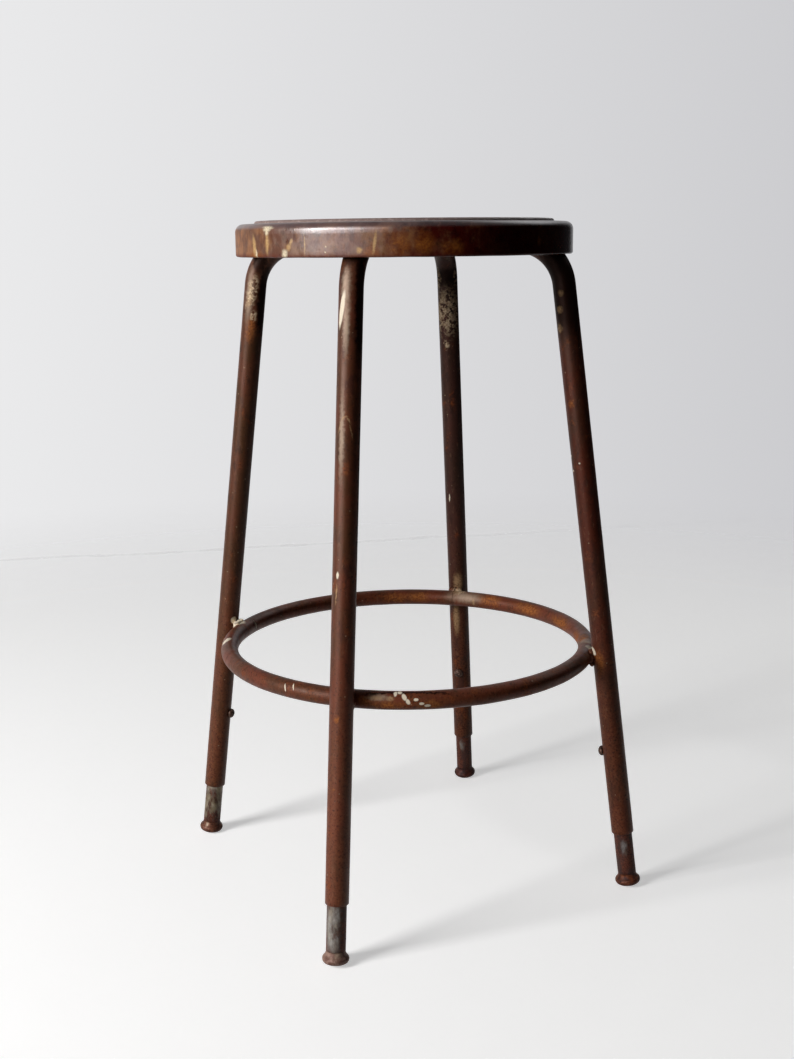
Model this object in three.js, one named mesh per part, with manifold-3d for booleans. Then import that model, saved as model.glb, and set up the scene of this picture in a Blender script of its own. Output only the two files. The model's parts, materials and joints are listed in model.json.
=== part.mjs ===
// A workshop stool: a round pressed-steel seat on four bent, splayed tube legs, with a footrest ring inside the
// legs and, in the lower end of each leg, a telescoping extension with a flared steel foot.
// Millimetres, +Z up. The origin is on the floor, under the middle of the seat.

import * as THREE from "three";
import { mergeVertices } from "three/addons/utils/BufferGeometryUtils.js";
import Module from "manifold-3d";

// Fits
const seatingGap = 0.3; // between pieces that are welded, pressed or laid together
const cutOverrun = 2; // how far a cutter reaches past what it cuts

// Seat pan
const seatDiameter = 355.6;
const seatEdgeHeight = 686; // the apron's lower edge, above the floor
const panHeight = 33.5; // from the apron's lower edge to the rim round the board
const panSheet = 1.5;
const shoulderRadius = 8;
const hemWidth = 1.5; // the flat of the lower edge that is turned in
const hemBendRadius = 2.4;
const recessDiameter = 316;
const recessDepth = 3.2;
const pressedInnerRadius = 0.6; // inside the tight bends of the recess

// Seat board
const boardThickness = 6;
const boardEdgeRadius = 1.5;

// Plate under the seat, and the studs that hold it
const plateDiameter = 200;
const plateThickness = 2.5;
const plateBoreDiameter = 30;
const studDiameter = 6;
const studCircleRadius = 72;
const studHoleClearance = 0.4;
const studTail = 2; // how far a stud shows past its nut
const washerDiameter = 12;
const washerThickness = 1.6;
const nutAcrossFlats = 10;
const nutThickness = 5;

// Legs
const legDiameter = 24;
const legWall = 1.6;
const legSplayDegrees = 7.1; // lean of a straight leg from upright
const footRadius = 253.5; // where a leg's centre line meets the floor, from the middle
const legFootHeight = 61.5; // a leg tube's lower end, above the floor
const legBendRadius = 50; // centre line of the bend under the seat
const legInnerEndRadius = 35; // a leg tube's upper end, from the middle

// Footrest ring
const ringTubeDiameter = 19;
const ringWall = 1.5;
const ringHeight = 259; // its centre line, above the floor
const ringSeamGap = 0.6; // between the ends of the rolled tube
const weldWidth = 30; // along the ring
const weldHeight = 17;
const weldDepth = 9; // towards the leg

// Leg extensions and their feet
const extensionDiameter = 20;
const extensionWall = 1.5;
const extensionGrip = 215; // length inside the leg at rest
const glideDomeRadius = 30; // its underside
const glideDiameter = 27.6;
const glideLipRadius = 4.2; // round the widest part
const glideNeckRadius = 7; // the hollow curve from the lip up to the tube
const glideStemLength = 16;
const glideStemClearance = 0.3;
const glideWear = 0.3; // flat that the floor has worn on the dome

// Lock screws
const lockScrewDiameter = 6;
const lockHoleClearance = 0.4;
const lockScrewRise = 94; // above the leg tube's lower end, along the leg
const screwHeadDiameter = 11;
const screwHeadHeight = 4.8;
const screwHeadEdge = 0.9; // straight side below the dome
const screwSlotWidth = 1.5;
const screwSlotDepth = 1.9;
const firstSlotTurnDegrees = 65;
const slotTurnStepDegrees = 40; // each screw is turned this much further than the one before

// Fineness of the round shapes
const seatSides = 52;
const tubeSides = 18;
const ringSides = 10;
const ringSteps = 52;
const legBendSteps = 8;
const smallSides = 12;
const glideSides = 18;
const beadSides = 8;

// Sizes that follow
const seatRadius = seatDiameter / 2;
const recessRadius = recessDiameter / 2;
const rimHeight = seatEdgeHeight + panHeight;
const recessFloor = rimHeight - recessDepth;
const panUnderside = recessFloor - panSheet;
const plateTop = panUnderside - seatingGap;
const plateUnderside = plateTop - plateThickness;
const washerTop = plateUnderside - seatingGap;
const nutTop = washerTop - washerThickness - seatingGap;
const studEnd = nutTop - nutThickness - studTail;
const legRadius = legDiameter / 2;
const legBoreRadius = legRadius - legWall;
const legRunHeight = plateUnderside - seatingGap - legRadius;
const splay = THREE.MathUtils.degToRad(legSplayDegrees);
const legFootRise = legFootHeight / Math.cos(splay);
const ringTubeRadius = ringTubeDiameter / 2;
const extensionRadius = extensionDiameter / 2;
const extensionBoreRadius = extensionRadius - extensionWall;
const ringRadius =
  legRadiusAt(ringHeight) - (legRadius + seatingGap + ringTubeRadius) / Math.cos(splay);
const glideBase = (glideDomeRadius - glideWear) / Math.cos(splay) - glideDomeRadius;
const glideLipX = glideDiameter / 2 - glideLipRadius;
const glideLipHeight =
  glideDomeRadius - Math.sqrt((glideDomeRadius - glideLipRadius) ** 2 - glideLipX ** 2);
const glideNeckX = extensionRadius + glideNeckRadius;
const glideNeckHeight =
  glideLipHeight + Math.sqrt((glideLipRadius + glideNeckRadius) ** 2 - (glideNeckX - glideLipX) ** 2);
const lockScrewHeight = legFootRise + lockScrewRise;

const fullTurn = 2 * Math.PI;
const quarterTurn = Math.PI / 2;

// The legs and the studs go round from these directions, each a quarter turn on.
const firstLegTurn = -quarterTurn / 2;
const firstStudTurn = 0;
const legNames = ["front_right", "back_right", "back_left", "front_left"];
const studNames = ["right", "back", "left", "front"];

const wasm = await Module();
wasm.setup();

// Distance of a leg's straight centre line from the middle, at a height.
function legRadiusAt(height) {
  return footRadius - height * Math.tan(splay);
}

// A closed three.js geometry as a solid that can be joined and cut.
function solid(geometry) {
  const bare = geometry.clone();
  bare.deleteAttribute("normal");
  bare.deleteAttribute("uv");
  const merged = mergeVertices(bare, 1e-4);
  return new wasm.Manifold(
    new wasm.Mesh({
      numProp: 3,
      vertProperties: new Float32Array(merged.attributes.position.array),
      triVerts: new Uint32Array(merged.index.array),
    }),
  );
}

// A solid back as a three.js geometry, flat shaded.
function geometryOf(body) {
  const mesh = body.getMesh();
  const geometry = new THREE.BufferGeometry();
  geometry.setAttribute("position", new THREE.BufferAttribute(mesh.vertProperties, mesh.numProp));
  geometry.setIndex(new THREE.BufferAttribute(mesh.triVerts, 1));
  const faceted = geometry.toNonIndexed();
  faceted.computeVertexNormals();
  return faceted;
}

// A profile of (radius, height) points turned about the Z axis. It runs from the foot, up the outside, to the top.
function turned(profile, sides) {
  return new THREE.LatheGeometry(profile, sides).rotateX(quarterTurn);
}

// Points of an arc in a profile, both ends included.
function arc(centreX, centreY, radius, fromAngle, toAngle, steps) {
  return Array.from({ length: steps + 1 }, (_, i) => {
    const angle = THREE.MathUtils.lerp(fromAngle, toAngle, i / steps);
    return new THREE.Vector2(centreX + radius * Math.cos(angle), centreY + radius * Math.sin(angle));
  });
}

// A round bar upright on the Z axis between two heights.
function bar(radius, from, to, sides) {
  return new THREE.CylinderGeometry(radius, radius, to - from, sides)
    .rotateX(quarterTurn)
    .translate(0, 0, (from + to) / 2);
}

// A straight tube upright on the Z axis between two heights.
function straightTube(outer, inner, from, to, sides) {
  const profile = [
    new THREE.Vector2(inner, from),
    new THREE.Vector2(outer, from),
    new THREE.Vector2(outer, to),
    new THREE.Vector2(inner, to),
    new THREE.Vector2(inner, from),
  ];
  return turned(profile, sides);
}

// From a leg's own axis, Z up along the leg from the floor and X square to it outwards, to the plane of that leg.
const legAxisPlace = new THREE.Matrix4()
  .makeTranslation(footRadius, 0, 0)
  .multiply(new THREE.Matrix4().makeRotationY(-splay));

// Seat pan

// One face of the pressed sheet, this deep below the outer face, from the middle out and down to the hem.
function panFace(depth) {
  const rimBendRadius = panSheet + pressedInnerRadius;
  const hemEnd = seatRadius - hemBendRadius - hemWidth;
  return [
    new THREE.Vector2(0, recessFloor - depth),
    ...arc(
      recessRadius - pressedInnerRadius,
      recessFloor + pressedInnerRadius,
      pressedInnerRadius + depth,
      -quarterTurn,
      0,
      2,
    ),
    ...arc(
      recessRadius + rimBendRadius,
      rimHeight - rimBendRadius,
      rimBendRadius - depth,
      2 * quarterTurn,
      quarterTurn,
      2,
    ),
    ...arc(
      seatRadius - shoulderRadius,
      rimHeight - shoulderRadius,
      shoulderRadius - depth,
      quarterTurn,
      0,
      5,
    ),
    ...arc(
      seatRadius - hemBendRadius,
      seatEdgeHeight + hemBendRadius,
      hemBendRadius - depth,
      0,
      -quarterTurn,
      2,
    ),
    new THREE.Vector2(hemEnd, seatEdgeHeight + depth),
  ];
}

function seatPan() {
  const profile = [...panFace(panSheet), ...panFace(0).reverse()];
  let pan = solid(turned(profile, seatSides));
  studNames.forEach((_, i) => {
    const turn = firstStudTurn + i * quarterTurn;
    const stud = bar(studDiameter / 2, studEnd, panUnderside + panSheet / 2, smallSides)
      .translate(studCircleRadius, 0, 0)
      .rotateZ(turn);
    pan = pan.add(solid(stud));
  });
  return geometryOf(pan);
}

// Seat board

function seatBoard() {
  const radius = recessRadius - seatingGap;
  const foot = recessFloor + seatingGap;
  const top = foot + boardThickness;
  const profile = [
    new THREE.Vector2(0, foot),
    new THREE.Vector2(radius - pressedInnerRadius, foot),
    new THREE.Vector2(radius, foot + pressedInnerRadius),
    ...arc(radius - boardEdgeRadius, top - boardEdgeRadius, boardEdgeRadius, 0, quarterTurn, 3),
    new THREE.Vector2(0, top),
  ];
  return turned(profile, seatSides);
}

// Plate, washers and nuts

function legPlate() {
  const outline = new THREE.Shape().absarc(0, 0, plateDiameter / 2, 0, fullTurn);
  outline.holes.push(new THREE.Path().absarc(0, 0, plateBoreDiameter / 2, 0, fullTurn));
  const disc = new THREE.ExtrudeGeometry(outline, {
    depth: plateThickness,
    bevelEnabled: false,
    curveSegments: tubeSides,
  }).translate(0, 0, plateUnderside);
  let plate = solid(disc);
  studNames.forEach((_, i) => {
    const hole = bar(
      studDiameter / 2 + studHoleClearance,
      plateUnderside - cutOverrun,
      plateTop + cutOverrun,
      smallSides,
    )
      .translate(studCircleRadius, 0, 0)
      .rotateZ(firstStudTurn + i * quarterTurn);
    plate = plate.subtract(solid(hole));
  });
  return geometryOf(plate);
}

function washer() {
  const bore = studDiameter / 2 + studHoleClearance;
  return straightTube(washerDiameter / 2, bore, washerTop - washerThickness, washerTop, smallSides);
}

function nut() {
  const hexRadius = nutAcrossFlats / 2 / Math.cos(Math.PI / 6);
  const hex = bar(hexRadius, nutTop - nutThickness, nutTop, 6);
  const bore = bar(
    studDiameter / 2 + studHoleClearance,
    nutTop - nutThickness - cutOverrun,
    nutTop + cutOverrun,
    smallSides,
  );
  return geometryOf(solid(hex).subtract(solid(bore)));
}

// Legs

// A leg's centre line in its own plane: level under the seat, round the bend, then straight down the splay.
// It has one step for each straight and legBendSteps for the bend.
class LegPath extends THREE.Curve {
  constructor() {
    super();
    const bendHeight = legRunHeight - legBendRadius;
    const bendFootHeight = bendHeight + legBendRadius * Math.sin(splay);
    const bendX = legRadiusAt(bendFootHeight) - legBendRadius * Math.cos(splay);
    this.bendCentre = new THREE.Vector3(bendX, 0, bendHeight);
    this.innerEnd = new THREE.Vector3(legInnerEndRadius, 0, legRunHeight);
    this.foot = new THREE.Vector3(legRadiusAt(legFootHeight), 0, legFootHeight);
    this.steps = legBendSteps + 2;
  }

  onBend(angle) {
    const offset = new THREE.Vector3(Math.cos(angle), 0, Math.sin(angle));
    return this.bendCentre.clone().addScaledVector(offset, legBendRadius);
  }

  getPoint(t) {
    const step = t * this.steps;
    if (step <= 1) {
      return this.innerEnd.clone().lerp(this.onBend(quarterTurn), step);
    }
    if (step >= this.steps - 1) {
      return this.onBend(splay).lerp(this.foot, step - this.steps + 1);
    }
    return this.onBend(THREE.MathUtils.lerp(quarterTurn, splay, (step - 1) / legBendSteps));
  }

  getUtoTmapping(u) {
    return u;
  }
}

function leg() {
  const section = new THREE.Shape().absarc(0, 0, legRadius, 0, fullTurn);
  section.holes.push(new THREE.Path().absarc(0, 0, legBoreRadius, 0, fullTurn));
  const path = new LegPath();
  const tube = new THREE.ExtrudeGeometry(section, {
    extrudePath: path,
    steps: path.steps,
    curveSegments: tubeSides / 2,
  });
  const lockHole = bar(lockScrewDiameter / 2 + lockHoleClearance, 0, legRadius + cutOverrun, smallSides)
    .rotateY(-quarterTurn)
    .translate(0, 0, lockScrewHeight)
    .applyMatrix4(legAxisPlace);
  return geometryOf(solid(tube).subtract(solid(lockHole)));
}

// Footrest ring

// The rolled tube meets itself behind the back right leg. A weld bead fills the corner between it and each leg.
function footrestRing() {
  const outer = new THREE.TorusGeometry(ringRadius, ringTubeRadius, ringSides, ringSteps);
  const bore = new THREE.TorusGeometry(ringRadius, ringTubeRadius - ringWall, ringSides, ringSteps);
  const seamTurn = firstLegTurn + legNames.indexOf("back_right") * quarterTurn;
  const seam = new THREE.BoxGeometry(
    ringTubeDiameter + 2 * cutOverrun,
    ringSeamGap,
    ringTubeDiameter + 2 * cutOverrun,
  )
    .translate(ringRadius, 0, 0)
    .rotateZ(seamTurn);
  let ring = solid(outer).subtract(solid(seam));
  const legSurface = bar(
    legRadius + seatingGap,
    ringHeight - ringTubeDiameter - weldHeight,
    ringHeight + ringTubeDiameter + weldHeight,
    tubeSides,
  )
    .applyMatrix4(legAxisPlace)
    .translate(0, 0, -ringHeight);
  legNames.forEach((_, i) => {
    const turn = firstLegTurn + i * quarterTurn;
    const bead = new THREE.SphereGeometry(1, beadSides, beadSides / 2)
      .scale(weldDepth, weldWidth / 2, weldHeight / 2)
      .translate(ringRadius + ringTubeRadius, 0, 0)
      .rotateZ(turn);
    ring = ring.add(solid(bead)).subtract(solid(legSurface.clone().rotateZ(turn)));
  });
  return geometryOf(ring.subtract(solid(bore))).translate(0, 0, ringHeight);
}

// Leg extensions and feet, on the leg's own axis

function legExtension() {
  const from = glideBase + glideNeckHeight + seatingGap;
  return straightTube(extensionRadius, extensionBoreRadius, from, legFootRise + extensionGrip, tubeSides);
}

// A domed steel foot: a thick round lip, a hollow neck that narrows to the tube, and a stem pressed up inside it.
function glide() {
  const domeEnd = Math.asin(glideLipX / (glideDomeRadius - glideLipRadius)) - quarterTurn;
  const lipEnd = Math.atan2(glideNeckHeight - glideLipHeight, glideNeckX - glideLipX);
  const halfTurn = 2 * quarterTurn;
  const stemRadius = extensionBoreRadius - glideStemClearance;
  const profile = [
    ...arc(0, glideDomeRadius, glideDomeRadius, -quarterTurn, domeEnd, 3),
    ...arc(glideLipX, glideLipHeight, glideLipRadius, domeEnd, lipEnd, 5).slice(1),
    ...arc(glideNeckX, glideNeckHeight, glideNeckRadius, halfTurn + lipEnd, halfTurn, 3).slice(1),
    new THREE.Vector2(stemRadius, glideNeckHeight),
    new THREE.Vector2(stemRadius, glideNeckHeight + glideStemLength),
    new THREE.Vector2(0, glideNeckHeight + glideStemLength),
  ];
  profile[0].x = 0;
  const foot = turned(profile, glideSides).translate(0, 0, glideBase).applyMatrix4(legAxisPlace);
  const floor = new THREE.BoxGeometry(2 * glideDiameter, 2 * glideDiameter, glideDiameter).translate(
    footRadius,
    0,
    -glideDiameter / 2,
  );
  return geometryOf(solid(foot).subtract(solid(floor)));
}

// Lock screw, on its own axis from the middle of the leg

function lockScrew() {
  const tip = extensionRadius + seatingGap;
  const underHead = legRadius + seatingGap;
  const top = underHead + screwHeadHeight;
  const shank = lockScrewDiameter / 2;
  const head = screwHeadDiameter / 2;
  const domeSteps = 4;
  const dome = Array.from({ length: domeSteps + 1 }, (_, i) => {
    const angle = (quarterTurn * i) / domeSteps;
    const rise = screwHeadEdge + (screwHeadHeight - screwHeadEdge) * Math.sin(angle);
    return new THREE.Vector2(head * Math.cos(angle), underHead + rise);
  });
  dome[domeSteps].x = 0;
  const profile = [
    new THREE.Vector2(0, tip),
    new THREE.Vector2(shank, tip),
    new THREE.Vector2(shank, underHead),
    new THREE.Vector2(head, underHead),
    ...dome,
  ];
  const slot = new THREE.BoxGeometry(
    screwHeadDiameter + 2 * cutOverrun,
    screwSlotWidth,
    screwSlotDepth + cutOverrun,
  ).translate(0, 0, top - screwSlotDepth + (screwSlotDepth + cutOverrun) / 2);
  return geometryOf(solid(turned(profile, smallSides)).subtract(solid(slot)));
}

// Finishes

function finish(color, roughness, metalness) {
  return new THREE.MeshStandardMaterial({ color, roughness, metalness, flatShading: true });
}

const brownPaint = finish(0x4d352a, 0.5, 0.4);
const seatPaint = finish(0x5c3d2b, 0.42, 0.4);
const hardboard = finish(0x3d332d, 0.7, 0);
const platePaint = finish(0x443129, 0.6, 0.4);
const dullZinc = finish(0x75705f, 0.6, 0.7);
const rustyCopper = finish(0x6b422f, 0.55, 0.6);
const screwSteel = finish(0x503e35, 0.5, 0.7);

function piece(name, geometry, material) {
  const mesh = new THREE.Mesh(geometry, material);
  mesh.name = name;
  return mesh;
}

// Assembly

const stool = new THREE.Group();
stool.add(
  piece("seat_pan", seatPan(), seatPaint),
  piece("seat_board", seatBoard(), hardboard),
  piece("leg_plate", legPlate(), platePaint),
  piece("footrest_ring", footrestRing(), brownPaint),
);

const washerGeometry = washer();
const nutGeometry = nut();
studNames.forEach((name, i) => {
  const station = new THREE.Group();
  station.rotation.z = firstStudTurn + i * quarterTurn;
  const fasteners = new THREE.Group();
  fasteners.position.x = studCircleRadius;
  fasteners.add(
    piece("plate_washer_" + name, washerGeometry, dullZinc),
    piece("plate_nut_" + name, nutGeometry, dullZinc),
  );
  station.add(fasteners);
  stool.add(station);
});

const legGeometry = leg();
const extensionGeometry = legExtension();
const glideGeometry = glide();
const screwGeometry = lockScrew();
legNames.forEach((name, i) => {
  const station = new THREE.Group();
  station.rotation.z = firstLegTurn + i * quarterTurn;
  const legAxis = new THREE.Group();
  legAxis.applyMatrix4(legAxisPlace);
  const screw = piece("lock_screw_" + name, screwGeometry, screwSteel);
  const slotTurn = THREE.MathUtils.degToRad(firstSlotTurnDegrees + i * slotTurnStepDegrees);
  screw.position.z = lockScrewHeight;
  screw.rotation.set(0, -quarterTurn, slotTurn);
  legAxis.add(piece("leg_extension_" + name, extensionGeometry, dullZinc), screw);
  station.add(
    piece("leg_" + name, legGeometry, brownPaint),
    piece("glide_" + name, glideGeometry, rustyCopper),
    legAxis,
  );
  stool.add(station);
});

export default stool;
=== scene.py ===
# A vintage workshop stool: a round steel seat, four splayed tube legs, a footrest ring and telescoping feet.
# Metres, +Z up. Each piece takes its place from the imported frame's boxes and joints.

import json
import random
from math import acos, asin, atan2, cos, hypot, inf, pi, radians, sin, sqrt, tan

import bmesh
import bpy
from mathutils import Matrix, Vector, noise
from mathutils.geometry import delaunay_2d_cdt


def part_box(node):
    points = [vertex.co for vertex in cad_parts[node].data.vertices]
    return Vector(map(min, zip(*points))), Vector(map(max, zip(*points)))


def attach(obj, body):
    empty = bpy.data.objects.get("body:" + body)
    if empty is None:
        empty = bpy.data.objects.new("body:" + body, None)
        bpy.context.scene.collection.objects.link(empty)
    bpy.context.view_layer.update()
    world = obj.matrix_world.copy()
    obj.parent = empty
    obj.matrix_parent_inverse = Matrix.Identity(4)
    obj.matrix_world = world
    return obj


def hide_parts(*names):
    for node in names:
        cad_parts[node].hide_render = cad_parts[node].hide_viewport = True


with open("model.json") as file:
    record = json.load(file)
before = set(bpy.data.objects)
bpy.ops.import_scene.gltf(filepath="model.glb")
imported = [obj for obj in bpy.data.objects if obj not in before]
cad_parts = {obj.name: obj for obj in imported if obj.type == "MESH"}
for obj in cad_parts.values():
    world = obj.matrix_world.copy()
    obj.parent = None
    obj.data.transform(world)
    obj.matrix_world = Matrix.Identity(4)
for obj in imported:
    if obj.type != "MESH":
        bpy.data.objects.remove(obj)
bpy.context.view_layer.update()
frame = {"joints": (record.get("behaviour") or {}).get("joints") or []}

MM = 0.001

# Sizes that the boxes and joints don't give
GAP = 0.0003
PAN_HEIGHT = 0.0335
PAN_SHEET = 0.0015
SHOULDER_RADIUS = 0.008
HEM_WIDTH = 0.0015
HEM_BEND_RADIUS = 0.0024
RECESS_DEPTH = 0.0032
PRESSED_BEND = 0.0006
BOARD_EDGE_RADIUS = 0.0026
PLATE_BORE_RADIUS = 0.015
PLATE_EDGE = 0.0004
STUD_RADIUS = 0.003
STUD_CIRCLE_RADIUS = 0.072
STUD_HOLE_RADIUS = 0.0034
STUD_TAIL = 0.002
NUT_ACROSS_FLATS = 0.01
THREAD_PITCH = 0.001
THREAD_DEPTH = 0.0005
LEG_RADIUS = 0.012
LEG_WALL = 0.0016
LEG_FOOT_HEIGHT = 0.0615
LEG_BEND_RADIUS = 0.05
LEG_INNER_END_RADIUS = 0.035
RING_TUBE_RADIUS = 0.0095
RING_WALL = 0.0015
RING_SEAM_GAP = 0.0006
EXTENSION_RADIUS = 0.01
EXTENSION_WALL = 0.0015
EXTENSION_GRIP = 0.215
GLIDE_DOME_RADIUS = 0.03
GLIDE_RADIUS = 0.01375
GLIDE_LIP_RADIUS = 0.0042
GLIDE_NECK_RADIUS = 0.007
GLIDE_STEM_LENGTH = 0.016
GLIDE_WEAR = 0.0003
LOCK_SCREW_RADIUS = 0.003
LOCK_HOLE_RADIUS = 0.0034
SCREW_HEAD_RADIUS = 0.0055
SCREW_HEAD_HEIGHT = 0.0048
SCREW_HEAD_EDGE = 0.0009
SCREW_SLOT_WIDTH = 0.0015
SCREW_SLOT_DEPTH = 0.0019
FIRST_SLOT_TURN = radians(65)
SLOT_TURN_STEP = radians(40)

# Weld beads
RING_BEAD_RADIUS = 0.003
RING_BEAD_HALF_LENGTH = 0.0085
RING_BEAD_RISE = 0.0062
HEAPED_BEAD = (0.0080, 0.0042)  # rise and radius
PLATE_BEAD_RADIUS = 0.0022
PLATE_BEAD_OFFSET = 0.0058
PLATE_BEAD_FROM = 0.042
PLATE_BEAD_TO = 0.096
WELD_HALF_SIZES = Vector((0.0058, 0.01, 0.0082))
SPATTER_COUNT = 11
SPATTER_SEED = 4

# How finely the forms are divided
SEAT_SIDES = 256
STUD_SIDES = 24
TUBE_SIDES = 64
RING_STEPS = 420
RING_TUBE_SIDES = 40
RING_BEAD_STEPS = 22
PLATE_BEAD_STEPS = 46
FLOOR_SIDES = 96
PAN_STEP = 0.004
FINE_STEP = 0.003
SAME_POINT = 1e-9
NEARLY_ZERO = 1e-7

# Camera, as the photograph was taken, on a frame of 36 mm along its long side
CAMERA_PLACE = (-0.69, -1.3058, 0.702)
CAMERA_HEADING = radians(27.43)
CAMERA_PITCH = radians(11.98)
CAMERA_ROLL = radians(0.616)
CAMERA_LENS = 46.37
CAMERA_SENSOR = 36.0

# Light and surroundings. Each lamp has its way from the stool, width, height and power.
LAMP_DISTANCE = 3.0
WINDOW_LAMP = ((-0.9986, -0.0523, 0.44), 0.95, 1.3, 90.0)
# Glows of the room that only gloss shows: way, inner and outer half angle in degrees, and level
GLOWS = [
    ((-0.9133, -0.3145, 0.2588), 16, 34, 17.0),
    ((-0.8867, -0.3582, 0.2924), 9, 15, 55.0),
    ((0.7405, 0.2695, 0.6157), 8, 24, 5.5),
]
CEILING_FROM = 0.4
CEILING_TO = 0.65
CEILING = "#b0b0b2"
# The eye meets no wall darker than this, also behind the stool, where gloss finds the dark end of the room
DIMMEST_WALL = "#c6c6c9"
FILL_LEVEL = 0.02
FLOOR_LIFT = 0.465
FLOOR_BOUNCE = "#5c5957"
FLOOR_RADIUS = 3.0
FLOOR_FADE_FROM = 1.0
FLOOR_FADE_TO = 2.4
# The crack between floor and wall: which way it lies from the stool, and how far away
WALL_WAY = (0.2755, 0.9613, 0.0)
WALL_AWAY = 1.687
WINDOW_SIDE = (-0.8865, 0.4626, 0.0)
WINDOW_STOPS = [(0.0, "#1c1c1e"), (0.25, "#38383a"), (0.34, "#cacacd"), (0.65, "#ebebec"), (1.0, "#f2f2f3")]
ROOM_DEPTH = (0.4626, 0.8865, 0.0)
DEPTH_STOPS = [(0.0, "#707073"), (0.3, "#8a8a8d"), (0.75, "#ffffff"), (1.0, "#ffffff")]
MARK_WANDER_SIZE = 0.004
# Ways across the seat: towards the window, which sets the seat's painted light and shade and the board rim's
# painted reflection; where the seat takes the window's gloss; and its left end
SEAT_LIT_SIDE = (-0.9397, -0.342, 0.0)
SEAT_GLOSSY_SIDE = (-0.7934, -0.6088, 0.0)
SEAT_LEFT_END = (-0.9848, 0.1736, 0.0)

LEG_NAMES = ["front_right", "back_right", "back_left", "front_left"]
STUD_NAMES = ["right", "back", "left", "front"]
QUARTER_TURN = pi / 2
FULL_TURN = 2 * pi
UP = Vector((0, 0, 1))
SEAM_LEG = "back_right"
SPATTERED_LEG = "back_left"
FLOOR_CARRIER = "extension_front_left"

scene = bpy.context.scene
joints = {joint["name"]: joint for joint in frame["joints"]}

# Places from the frame
pan_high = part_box("seat_pan")[1]
board_low, board_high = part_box("seat_board")
plate_low, plate_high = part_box("leg_plate")
ring_low, ring_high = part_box("footrest_ring")
washer_low, washer_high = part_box("plate_washer_right")
nut_low, nut_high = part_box("plate_nut_right")
seat_radius = pan_high.x
rim_height = pan_high.z
hem_height = rim_height - PAN_HEIGHT
recess_floor = rim_height - RECESS_DEPTH
recess_radius = board_high.x + GAP
pan_underside = recess_floor - PAN_SHEET
ring_radius = ring_high.x - RING_TUBE_RADIUS
ring_height = (ring_low.z + ring_high.z) / 2
leg_run_height = plate_low.z - GAP - LEG_RADIUS


class Site:
    """One leg's place: its turn about the seat's axis, its lean, and where its lock screw sits along it."""

    def __init__(self, name):
        down = Vector(joints["extension_slide_" + name]["axis"])
        screw = Vector(joints["lock_turn_" + name]["pos_m"])
        self.name = name
        self.turn = atan2(down.y, down.x)
        self.splay = acos(-down.z)
        self.foot_radius = screw.xy.length + screw.z * tan(self.splay)
        self.foot_rise = LEG_FOOT_HEIGHT / cos(self.splay)
        self.plane = Matrix.Rotation(self.turn, 4, "Z")
        lean = Matrix.Rotation(-self.splay, 4, "Y")
        self.axis = self.plane @ Matrix.Translation((self.foot_radius, 0, 0)) @ lean
        rise = Matrix.Translation((0, 0, screw.z / cos(self.splay)))
        self.screw_axis = self.axis @ rise @ Matrix.Rotation(-QUARTER_TURN, 4, "Y")

    def radius_at(self, height):
        return self.foot_radius - height * tan(self.splay)

    def centre_at(self, height):
        return self.plane @ Vector((self.radius_at(height), 0, height))


sites = [Site(name) for name in LEG_NAMES]
by_name = {site.name: site for site in sites}
stud_places = {
    name: Matrix.Rotation(i * QUARTER_TURN, 4, "Z") @ Matrix.Translation((STUD_CIRCLE_RADIUS, 0, 0))
    for i, name in enumerate(STUD_NAMES)
}


def in_scene(name, data):
    made = bpy.data.objects.new(name, data)
    scene.collection.objects.link(made)
    return made


# Camera

def make_camera():
    data = bpy.data.cameras.new("camera")
    data.sensor_width = CAMERA_SENSOR
    data.lens = CAMERA_LENS
    camera = in_scene("camera", data)
    level = Matrix.Rotation(-CAMERA_HEADING, 4, "Z") @ Matrix.Rotation(QUARTER_TURN - CAMERA_PITCH, 4, "X")
    camera.matrix_world = Matrix.Translation(CAMERA_PLACE) @ level @ Matrix.Rotation(-CAMERA_ROLL, 4, "Z")
    scene.camera = camera


make_camera()


# Meshes

class Shell:
    """Closed skins made of rings of points. A ring of one point is a pole."""

    def __init__(self):
        self.points = []
        self.faces = []

    def ring(self, points):
        first = len(self.points)
        self.points.extend(points)
        return list(range(first, len(self.points)))

    def bridge(self, a, b):
        count = max(len(a), len(b))
        for i in range(count):
            j = (i + 1) % count
            corners = [a[i % len(a)], a[j % len(a)], b[j % len(b)], b[i % len(b)]]
            self.faces.append(list(dict.fromkeys(corners)))

    def skin(self, rings, closed=False):
        made = [self.ring(points) for points in rings]
        for a, b in zip(made, made[1:]):
            self.bridge(a, b)
        if closed:
            self.bridge(made[-1], made[0])

    def piece(self, sharp=35):
        mesh = bpy.data.meshes.new("piece")
        mesh.from_pydata(self.points, [], self.faces)
        work = bmesh.new()
        work.from_mesh(mesh)
        bmesh.ops.recalc_face_normals(work, faces=work.faces)
        work.to_mesh(mesh)
        work.free()
        mesh.polygons.foreach_set("use_smooth", [True] * len(mesh.polygons))
        mesh.set_sharp_from_angle(angle=radians(sharp))
        return in_scene("piece", mesh)


def around(turn, radius=1.0, height=0.0):
    """The point at this turn, radius and height about the stool's axis, or the direction outwards."""
    return Vector((radius * cos(turn), radius * sin(turn), height))


def clamp(value):
    return min(1.0, max(0.0, value))


def lump(point, size, seed=0.0):
    """Smooth noise of about -1 to 1 whose features are of this size."""
    return noise.noise(point / size + Vector((seed, seed, seed)))


def dent(point, depth, size, seed=0.0):
    """How far wear takes the surface back at a point, up to this depth."""
    return depth * (0.5 + 0.5 * lump(point, size, seed))


def arc(centre, radius, start, end, steps):
    """Points (r, z) of an arc in a profile, both ends included."""
    turns = [start + (end - start) * i / steps for i in range(steps + 1)]
    return [(centre[0] + radius * cos(a), centre[1] + radius * sin(a)) for a in turns]


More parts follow.
